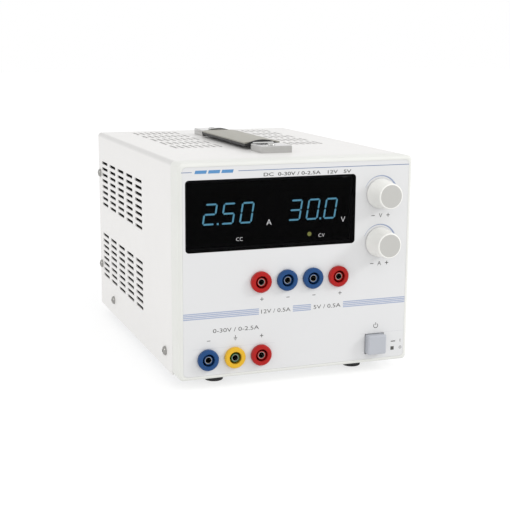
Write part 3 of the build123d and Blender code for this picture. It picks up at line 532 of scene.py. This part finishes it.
# ---------------------------------------------------------------- making pieces
def piece_from(name, mesh, finish, body="case"):
    """A finished mesh as a piece that rides on a body."""
    mesh.materials.clear()
    mesh.materials.append(finish)
    made = bpy.data.objects.new(name, mesh)
    bpy.context.scene.collection.objects.link(made)
    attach(made, body)
    return made


def baked(source):
    """The evaluated mesh of an object, which is then removed."""
    graph = bpy.context.evaluated_depsgraph_get()
    mesh = bpy.data.meshes.new_from_object(source.evaluated_get(graph), depsgraph=graph)
    bpy.data.objects.remove(source)
    return mesh


def spot(x, z):
    """Scene x and z of a place on the front."""
    return left_edge + x * MM, underside + z * MM


cap_share = 0.73  # capital height of the font, as a share of its size


class Print:
    """Raised ink on a face seen from the front, gathered into one mesh."""

    film = 0.00002

    def __init__(self, name, ink, slot, level=face):
        self.name = name
        self.ink = ink
        self.slot = slot
        self.level = level
        self.form = bmesh.new()

    def strip(self, one_side, other_side):
        """A closed band between two rows of (x, z) places."""
        rows = []
        for depth in (0, self.film):
            for row in (one_side, other_side):
                places = [spot(x, z) for x, z in row]
                rows.append([self.form.verts.new((x, self.level - depth, z)) for x, z in places])
        a, b, c, d = rows
        for i in range(len(a) - 1):
            for p, q in ((a, b), (d, c), (c, a), (b, d)):
                self.form.faces.new((p[i], p[i + 1], q[i + 1], q[i]))
        for end in (0, -1):
            self.form.faces.new((a[end], b[end], d[end], c[end]))
        return self

    def bar(self, x, z, width, height):
        """A plain rectangle about its centre."""
        w, h = width / 2, height / 2
        return self.strip([(x - w, z - h), (x + w, z - h)], [(x - w, z + h), (x + w, z + h)])

    def plus(self, x, z, width, arm_place, arm, line):
        """A plus sign: a bar across, and an arm above and below it."""
        self.bar(x, z, width, line)
        self.bar(x, z + arm_place, line, arm)
        self.bar(x, z - arm_place, line, arm)

    def arc(self, x, z, radius, start, end, thin, thick, steps=40):
        """An arc from one angle to another that grows from thin to thick."""
        inner, outer = [], []
        for i in range(steps + 1):
            share = i / steps
            angle = radians(start + (end - start) * share)
            half = (thin + (thick - thin) * share**1.4) / 2
            inner.append((x + cos(angle) * (radius - half), z + sin(angle) * (radius - half)))
            outer.append((x + cos(angle) * (radius + half), z + sin(angle) * (radius + half)))
        return self.strip(inner, outer)

    def words(self, text, x, z, height, bold=0.0, width=None):
        """Characters centred on a place, with their capital height."""
        letters = bpy.data.curves.new("letters", "FONT")
        letters.body = text
        letters.size = 1.0
        letters.offset = bold
        letters.resolution_u = 3
        holder = bpy.data.objects.new("letters", letters)
        bpy.context.scene.collection.objects.link(holder)
        mesh = baked(holder)
        xs = [v.co.x for v in mesh.vertices]
        low, high = min(xs), max(xs)
        tall = height * MM / cap_share
        wide = width * MM / (high - low) if width else tall
        cx, cz = spot(x, z)
        for v in mesh.vertices:
            along = (v.co.x - (low + high) / 2) * wide
            v.co = (cx + along, self.level - self.film, cz + (v.co.y - cap_share / 2) * tall)
        self.form.from_mesh(mesh)
        return self

    def done(self):
        bmesh.ops.recalc_face_normals(self.form, faces=self.form.faces)
        for f in self.form.faces:
            flat = abs(f.normal.y) > 0.99
            if flat and abs(f.calc_center_median().y - self.level + self.film) < 1e-6 and f.normal.y > 0:
                f.normal_flip()
        mesh = bpy.data.meshes.new(self.name)
        self.form.to_mesh(mesh)
        self.form.free()
        return piece_from(self.name, mesh, self.ink)


# ---------------------------------------------------------------- printed front
stroke = 0.45
rule_height = 141.0
lower_row, upper_row, fixed_ratings = 27.2, 52.8, 44.2

top_rule = Print("panel_top_rule", blue_ink, "overlay_print")
top_rule.bar(5.6, rule_height, 7.2, 0.42)
top_rule.bar(104.4, rule_height, 126.2, 0.42)
top_rule.done()

plain_mark = Print("panel_plain_mark", mark_blue_ink, "overlay_print")
foot, head, slant = 139.9, 142.1, 0.7
for start, end in ((11.0, 19.0), (20.2, 28.2), (29.4, 37.4)):
    plain_mark.strip([(start, foot), (start + slant, head)], [(end, foot), (end + slant, head)])
plain_mark.done()

ratings = Print("panel_ratings", dark_ink, "overlay_print")
ratings.words("0-30V / 0-2.5A", 40.0, 33.5, 2.9, width=33.0)
ratings.words("12V / 0.5A", 68.8, fixed_ratings, 2.9, width=21.5)
ratings.words("5V / 0.5A", 107.0, fixed_ratings, 2.9, width=20.5)
ratings.words("DC  0-30V / 0-2.5A   12V   5V", 91.1, 137.9, 2.4, 0.014, 64.0)
ratings.done()

polarity = Print("panel_polarity_marks", dark_ink, "overlay_print")
for x, z in ((58.5, lower_row), (58.5, upper_row), (116.6, upper_row)):
    polarity.plus(x, z, 2.5, 0.74, 1.02, stroke)
for x, z in ((20.5, 26.8), (77.6, upper_row), (96.9, upper_row)):
    polarity.bar(x, z, 2.3, stroke)
polarity.bar(39.5, 28.4, 0.4, 1.7)
for drop, width in ((0.0, 2.6), (0.75, 1.7), (1.5, 0.8)):
    polarity.bar(39.5, 27.4 - drop, width, 0.36)
polarity.done()

controls = Print("panel_control_marks", dark_ink, "overlay_print")
for letter, z in (("V", 106.0), ("A", 72.0)):
    controls.words(letter, 146.4, z, 3.1)
    controls.bar(140.6, z, 2.6, 0.5)
    controls.plus(152.2, z, 2.6, 0.78, 1.05, 0.5)
controls.arc(145.0, 26.7, 1.6, 125, 415, stroke, stroke, 24)
controls.bar(145.0, 28.1, stroke, 1.9)
controls.bar(159.2, 14.0, 3.4, 0.7)
controls.bar(158.6, 8.9, 2.6, 2.6)
controls.bar(164.8, 14.2, 0.4, 2.2)
controls.arc(165.0, 9.0, 0.85, 0, 360, 0.35, 0.35, 24)
controls.done()

rings = Print("knob_scale_rings", ring_ink, "overlay_print")
for z in (121.4, 87.2):
    rings.arc(145.9, z, 12.4, 158, 24, 0.22, 1.25)
rings.done()

rules = Print("panel_faint_rules", faint_ink, "overlay_print")
rules.bar(38.5, 21.5, 59.0, 0.25)
rules.bar(150.5, 21.5, 35.0, 0.25)
rules.done()

window_marks = Print("window_unit_letters", white_ink, "smoked_window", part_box("display_window")[0][1])
window_marks.words("A", 63.2, 105.7, 4.2, -0.02)
window_marks.words("V", 117.7, 104.8, 4.2, -0.02)
window_marks.words("CC", 42.2, 95.3, 2.6, -0.02, 4.6)
window_marks.words("CV", 101.8, 94.6, 2.6, -0.02, 4.6)
window_marks.done()


# ---------------------------------------------------------------- repeated pieces
class Pattern(Desk):
    """A Geometry Nodes tree with named inputs, run once and kept as a plain mesh."""

    def __init__(self, name, **sizes):
        super().__init__(bpy.data.node_groups.new(name, "GeometryNodeTree"))
        kinds = {float: "NodeSocketFloat", int: "NodeSocketInt", bpy.types.Object: "NodeSocketObject"}
        self.tree.interface.new_socket("Geometry", in_out="INPUT", socket_type="NodeSocketGeometry")
        self.tree.interface.new_socket("Geometry", in_out="OUTPUT", socket_type="NodeSocketGeometry")
        self.sizes = sizes
        for label, value in sizes.items():
            self.tree.interface.new_socket(label, in_out="INPUT", socket_type=kinds[type(value)])
        self.entry = self.tree.nodes.new("NodeGroupInput")
        self.exit = self.tree.nodes.new("NodeGroupOutput")
        self.shape = Wire(self, self.entry.outputs[0])

    def size(self, label):
        return Wire(self, self.entry.outputs[label])

    def run(self, shape, finish, source=None):
        """The pattern's result as a mesh."""
        solid = self.node("GeometryNodeRealizeInstances", None, {"Geometry": shape})
        coated = self.node("GeometryNodeSetMaterial", None, {"Geometry": solid, "Material": finish})
        self.plug(self.exit.inputs[0], coated)
        carrier = bpy.data.objects.new("carrier", source or bpy.data.meshes.new("carrier"))
        bpy.context.scene.collection.objects.link(carrier)
        modifier = carrier.modifiers.new("pattern", "NODES")
        modifier.node_group = self.tree
        for item in self.tree.interface.items_tree:
            if item.in_out == "INPUT" and item.name in self.sizes:
                modifier[item.identifier] = self.sizes[item.name]
        return baked(carrier)


def pinstripes(name, start, end, middle, count=4, pitch=1.2, line=0.74):
    """Fine printed rules one above the other, between two x places."""
    work = Pattern(name, Count=count, Pitch=pitch * MM, Line=line * MM, Length=(end - start) * MM)
    rise = work.node("ShaderNodeCombineXYZ", None, {"Z": work.size("Pitch")})
    spread = {"Count": work.size("Count"), "Offset": rise}
    rows = work.node("GeometryNodeMeshLine", {"mode": "OFFSET"}, spread)
    form = {"X": work.size("Length"), "Y": Print.film, "Z": work.size("Line")}
    rule = work.node("GeometryNodeMeshCube", None, {"Size": work.node("ShaderNodeCombineXYZ", None, form)})
    laid = work.node("GeometryNodeInstanceOnPoints", None, {"Points": rows, "Instance": rule})
    mesh = work.run(laid, band_ink)
    x, z = spot((start + end) / 2, middle - (count - 1) * pitch / 2)
    mesh.transform(Matrix.Translation((x, face - Print.film / 2, z)))
    return piece_from(name, mesh, band_ink)


band_height = 44.35
for label, start, end in (("left", 2.8, 56.4), ("middle", 81.3, 94.8), ("right", 119.1, 167.2)):
    pinstripes(f"panel_pinstripes_{label}", start, end, band_height)


def cross_head(head, tall, shank, length):
    """A pan-head screw with a cross recess, head up, its seat at the origin (metres)."""
    rim = [(0.0, tall), (head * 0.45, tall * 0.97), (head * 0.78, tall * 0.78), (head * 0.95, tall * 0.45)]
    rim += [(head, tall * 0.15), (head, 0.0), (shank, 0.0)]
    turns = max(4, int(length / (shank * 0.55)))
    for i in range(turns):
        low = -length * (i + 0.5) / turns
        rim += [(shank * 0.86, low + length * 0.25 / turns), (shank, low)]
    rim += [(shank * 0.5, -length), (0.0, -length)]
    form = bmesh.new()
    outline = [form.verts.new((r, 0, z)) for r, z in rim]
    edges = [form.edges.new(pair) for pair in zip(outline, outline[1:])]
    bmesh.ops.spin(
        form, geom=outline + edges, cent=(0, 0, 0), axis=(0, 0, 1), angle=2 * pi, steps=28, use_merge=True
    )
    bmesh.ops.remove_doubles(form, verts=form.verts, dist=1e-7)
    bmesh.ops.recalc_face_normals(form, faces=form.faces)
    mesh = bpy.data.meshes.new("screw_blank")
    form.to_mesh(mesh)
    form.free()
    blank = bpy.data.objects.new("screw_blank", mesh)
    cut = bmesh.new()
    for turn in (0, pi / 2):
        box = bmesh.ops.create_cube(cut, size=1.0)["verts"]
        for v in box:
            narrow, height = (1.0, 1.6) if v.co.z > 0 else (0.55, 0.35)
            v.co = (v.co.x * head * 1.05 * narrow, v.co.y * head * 0.24 * narrow, tall * height)
        bmesh.ops.rotate(cut, verts=box, cent=(0, 0, 0), matrix=Matrix.Rotation(turn, 3, "Z"))
    bmesh.ops.recalc_face_normals(cut, faces=cut.faces)
    mesh = bpy.data.meshes.new("cross_bit")
    cut.to_mesh(mesh)
    cut.free()
    bit = bpy.data.objects.new("cross_bit", mesh)
    for made in (blank, bit):
        bpy.context.scene.collection.objects.link(made)
    slot_cut = blank.modifiers.new("recess", "BOOLEAN")
    slot_cut.object = bit
    slot_cut.solver = "EXACT"
    slot_cut.use_self = True
    mesh = baked(blank)
    bpy.data.objects.remove(bit)
    mesh.polygons.foreach_set("use_smooth", [True] * len(mesh.polygons))
    mesh.set_sharp_from_angle(angle=radians(32))
    return mesh


def screw_seats(node):
    """Each screw of a CAD node: its seat and heading, and the sizes that all of them share."""
    form = bmesh.new()
    form.from_mesh(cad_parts[node].data)
    bmesh.ops.remove_doubles(form, verts=form.verts, dist=1e-6)
    left_over = set(form.verts)
    seats = []
    while left_over:
        island = [left_over.pop()]
        for v in island:
            for edge in v.link_edges:
                other = edge.other_vert(v)
                if other in left_over:
                    left_over.remove(other)
                    island.append(other)
        low = Vector([min(v.co[i] for v in island) for i in range(3)])
        high = Vector([max(v.co[i] for v in island) for i in range(3)])
        span = high - low
        along = min(range(3), key=lambda i: abs(span[i - 1] - span[i - 2]))
        middle = (low + high) / 2
        head = span[along - 1] / 2
        reach = [(v.co[along], (v.co - middle)) for v in island]
        rim = []
        for height, arm in reach:
            arm[along] = 0
            if arm.length > head * 0.97:
                rim.append(height)
        up = 1 if sum(rim) / len(rim) > middle[along] else -1
        level = min(rim) if up > 0 else max(rim)
        middle[along] = level
        heading = Vector((0, 0, 0))
        heading[along] = up
        tall = abs((high if up > 0 else low)[along] - level)
        seats.append((tuple(middle), tuple(heading)))
    form.free()
    return seats, head, tall, span[along] - tall


def screw_set(node, finish, shank=0.0015):
    """Cross-head screws in place of a CAD node's plain ones, each turned a little differently."""
    seats, head, tall, length = screw_seats(node)
    model = bpy.data.objects.new("screw_model", cross_head(head, tall, shank, length))
    bpy.context.scene.collection.objects.link(model)
    points = bpy.data.meshes.new("seats")
    points.from_pydata([place for place, _ in seats], [], [])
    heading = points.attributes.new("heading", "FLOAT_VECTOR", "POINT")
    for i, (_, direction) in enumerate(seats):
        heading.data[i].vector = direction
    work = Pattern(f"{node}_pattern", Screw=model, Seed=7)
    vector = {"data_type": "FLOAT_VECTOR"}
    aim = work.node("GeometryNodeInputNamedAttribute", vector, {"Name": "heading"}, "Attribute")
    facing = work.node("FunctionNodeAlignRotationToVector", {"axis": "Z"}, {"Vector": aim})
    turn = work.node(
        "FunctionNodeRandomValue",
        {"data_type": "FLOAT"},
        {"Min_001": 0.0, "Max_001": 1.57, "Seed": work.size("Seed")},
        "Value_001",
    )
    spun = work.node("ShaderNodeCombineXYZ", None, {"Z": turn})
    turned = {"Rotation": facing, "Rotate By": spun}
    rotation = work.node("FunctionNodeRotateRotation", {"rotation_space": "LOCAL"}, turned)
    screw = work.node("GeometryNodeObjectInfo", None, {"Object": work.size("Screw")}, "Geometry")
    cloud = work.node("GeometryNodeMeshToPoints", None, {"Mesh": work.shape})
    placed = {"Points": cloud, "Instance": screw, "Rotation": rotation}
    laid = work.node("GeometryNodeInstanceOnPoints", None, placed)
    mesh = work.run(laid, finish, points)
    bpy.data.objects.remove(model)
    made = piece_from(f"cross_head_{node}", mesh, finish)
    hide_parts(node)
    return made


# A darker copy of the chrome plate for the cover screws: its lower colour is painted shade, standing in
# for the dark reflections in the heads.
shade_darkened_chrome = metal("dark_bolt_chrome", (0.33, 0.325, 0.31), 0.14, (1, 1, 1), 700, 0.000004, 0.05)
screw_set("cover_screws", shade_darkened_chrome)
for group in ("chassis_screws", "panel_screws", "foot_screws", "handle_screws"):
    screw_set(group, finishes["screw_steel"])


# ---------------------------------------------------------------- lit meters
digit_width = 7.8
digit_height = 13.3
digit_pitch = 13.0
segment_width = 1.2
segment_gap = 0.22
tip_width = 0.04
point_size = 1.3
point_offset = 1.55
digit_slip = -0.6
digit_rise = 0.5
lean = tan(radians(9))
lit_segments = {"0": "abcdef", "2": "abged", "3": "abgcd", "5": "afgcd"}


def segment_ends(x, z):
    """The two ends of each bar of a seven-segment digit about its middle."""
    w, h = digit_width / 2, digit_height / 2
    return {
        "a": ((x - w, z + h), (x + w, z + h)),
        "b": ((x + w, z + h), (x + w, z)),
        "c": ((x + w, z), (x + w, z - h)),
        "d": ((x - w, z - h), (x + w, z - h)),
        "e": ((x - w, z), (x - w, z - h)),
        "f": ((x - w, z + h), (x - w, z)),
        "g": ((x - w, z), (x + w, z)),
    }


def segment(paper, start, end, base):
    """One bar with pointed ends, leaning with the digit."""
    (ax, az), (bx, bz) = start, end
    long = max(abs(bx - ax), abs(bz - az))
    ux, uz = (bx - ax) / long, (bz - az) / long
    half = segment_width / 2
    near, far = segment_gap, long - segment_gap
    rows = ([], [])
    for run, out in ((near, tip_width), (near + half, half), (far - half, half), (far, tip_width)):
        for row, side in zip(rows, (1, -1)):
            px, pz = ax + ux * run - uz * out * side, az + uz * run + ux * out * side
            row.append((px + (pz - base) * lean, pz))
    paper.strip(*rows)


def meter(name, reading, centre, level, height):
    """The lit and idle bars of a three-digit reading such as 2.50."""
    glowing = Print(f"{name}_lit_segments", segment_glow, "meter_plastic", level)
    idle = Print(f"{name}_idle_segments", segment_idle, "meter_plastic", level)
    points = [i - 1 for i, mark in enumerate(reading) if mark == "."]
    for i, digit in enumerate(reading.replace(".", "")):
        x = centre + (i - 1) * digit_pitch + digit_slip
        for label, (start, end) in segment_ends(x, height).items():
            paper = glowing if label in lit_segments[digit] else idle
            segment(paper, start, end, height)
        paper = glowing if i in points else idle
        foot = height - digit_height / 2
        paper.bar(x + digit_width / 2 + point_offset, foot, point_size, point_size)
    glowing.done()
    idle.done()


for name, reading in (("current", "2.50"), ("voltage", "30.0")):
    low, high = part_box(f"{name}_meter")
    middle = ((low + high) / 2 - corner) / MM
    meter(name, reading, middle.x, low.y, middle.z + digit_rise)


def window_mask():
    """Black foil behind the window, open only at the meters and the two lenses."""
    low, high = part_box("display_window")
    level = high.y + 0.0002
    rim = 4.0
    lenses = ("constant_current_led", "constant_voltage_led")
    meters = ("current_meter", "voltage_meter")
    holes = {}
    for group, spare in ((meters, 0.3), (lenses, 0.6)):
        for node in group:
            a, b = ((place - corner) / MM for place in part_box(node))
            holes[node] = (a.x - spare, b.x + spare, a.z - spare, b.z + spare)
    a, b = (low - corner) / MM, (high - corner) / MM
    left, right, foot, head = a.x + rim, b.x - rim, a.z + rim, b.z - rim
    foil = Print("window_black_mask", finishes["meter_plastic"], "meter_plastic", level)

    def sheet(x0, x1, z0, z1):
        foil.bar((x0 + x1) / 2, (z0 + z1) / 2, x1 - x0, z1 - z0)

    edge = foot
    for group in (lenses, meters):
        one, two = (holes[node] for node in group)
        sheet(left, right, edge, one[2])
        for x0, x1 in ((left, one[0]), (one[1], two[0]), (two[1], right)):
            sheet(x0, x1, one[2], one[3])
        edge = one[3]
    sheet(left, right, edge, head)
    foil.done()


window_mask()


# ---------------------------------------------------------------- studio
def studio_floor():
    """A pale floor that glows a little, so that shadows on it stay faint."""
    made = Finish("pale_studio_floor", Roughness=0.9, Specular_IOR_Level=0.1, Emission_Strength=0.68)
    made.set(
        Base_Color=made.tint(made.noise(3.0), (0.32, 0.32, 0.32), (0.34, 0.34, 0.34)),
        Emission_Color=(1.0, 1.0, 1.0),
    )
    mesh = bpy.data.meshes.new("studio_floor")
    reach = 6
    rim = [(-reach, -reach, 0), (reach, -reach, 0), (reach, reach, 0), (-reach, reach, 0)]
    mesh.from_pydata(rim, [], [(0, 1, 2, 3)])
    mesh.materials.append(made.material)
    floor = bpy.data.objects.new("studio_floor", mesh)
    bpy.context.scene.collection.objects.link(floor)


def soft_light(name, place, aim, size, watts):
    """A square softbox that faces a point."""
    lamp = bpy.data.lights.new(name, "AREA")
    lamp.shape = "RECTANGLE"
    lamp.size = size
    lamp.size_y = size
    lamp.energy = watts
    stand = bpy.data.objects.new(name, lamp)
    heading = Vector(aim) - Vector(place)
    stand.matrix_world = Matrix.Translation(place) @ heading.to_track_quat("-Z", "Y").to_matrix().to_4x4()
    bpy.context.scene.collection.objects.link(stand)


def studio():
    """Floor, white surround and three softboxes."""
    studio_floor()
    world = bpy.data.worlds.new("white_studio")
    world.use_nodes = True
    backdrop = world.node_tree.nodes["Background"]
    backdrop.inputs["Color"].default_value = (1.0, 1.0, 1.0, 1.0)
    backdrop.inputs["Strength"].default_value = 1.0
    bpy.context.scene.world = world
    soft_light("key_softbox", (1.5, -0.8, 0.95), (0, 0, 0.10), 0.4, 12.0)
    soft_light("left_softbox", (-1.7, -0.4, 0.8), (0, 0, 0.08), 0.9, 5.0)
    soft_light("front_softbox", (0.2, -1.6, 1.1), (0, 0, 0.08), 0.9, 3.0)
    bpy.context.scene.view_settings.view_transform = "Standard"


camera_place = (-0.28283, -0.80216, 0.23761)
camera_yaw, camera_pitch, camera_roll = 20.30, 11.38, 0.34
camera_lens = 77.58


def camera():
    """The camera: yaw turns it from +Y towards +X, pitch lowers it, roll turns its frame."""
    yaw, pitch, roll = radians(camera_yaw), radians(camera_pitch), radians(camera_roll)
    forward = Vector((sin(yaw) * cos(pitch), cos(yaw) * cos(pitch), -sin(pitch)))
    across = Vector((cos(yaw), -sin(yaw), 0))
    upward = across.cross(forward)
    right = across * cos(roll) + upward * sin(roll)
    top = upward * cos(roll) - across * sin(roll)
    lens = bpy.data.cameras.new("studio_camera")
    lens.sensor_width = 36.0
    lens.lens = camera_lens
    lens.clip_start = 0.02
    stand = bpy.data.objects.new("studio_camera", lens)
    turn = Matrix((right, top, -forward)).transposed().to_4x4()
    stand.matrix_world = Matrix.Translation(camera_place) @ turn
    bpy.context.scene.collection.objects.link(stand)
    bpy.context.scene.camera = stand


studio()
camera()
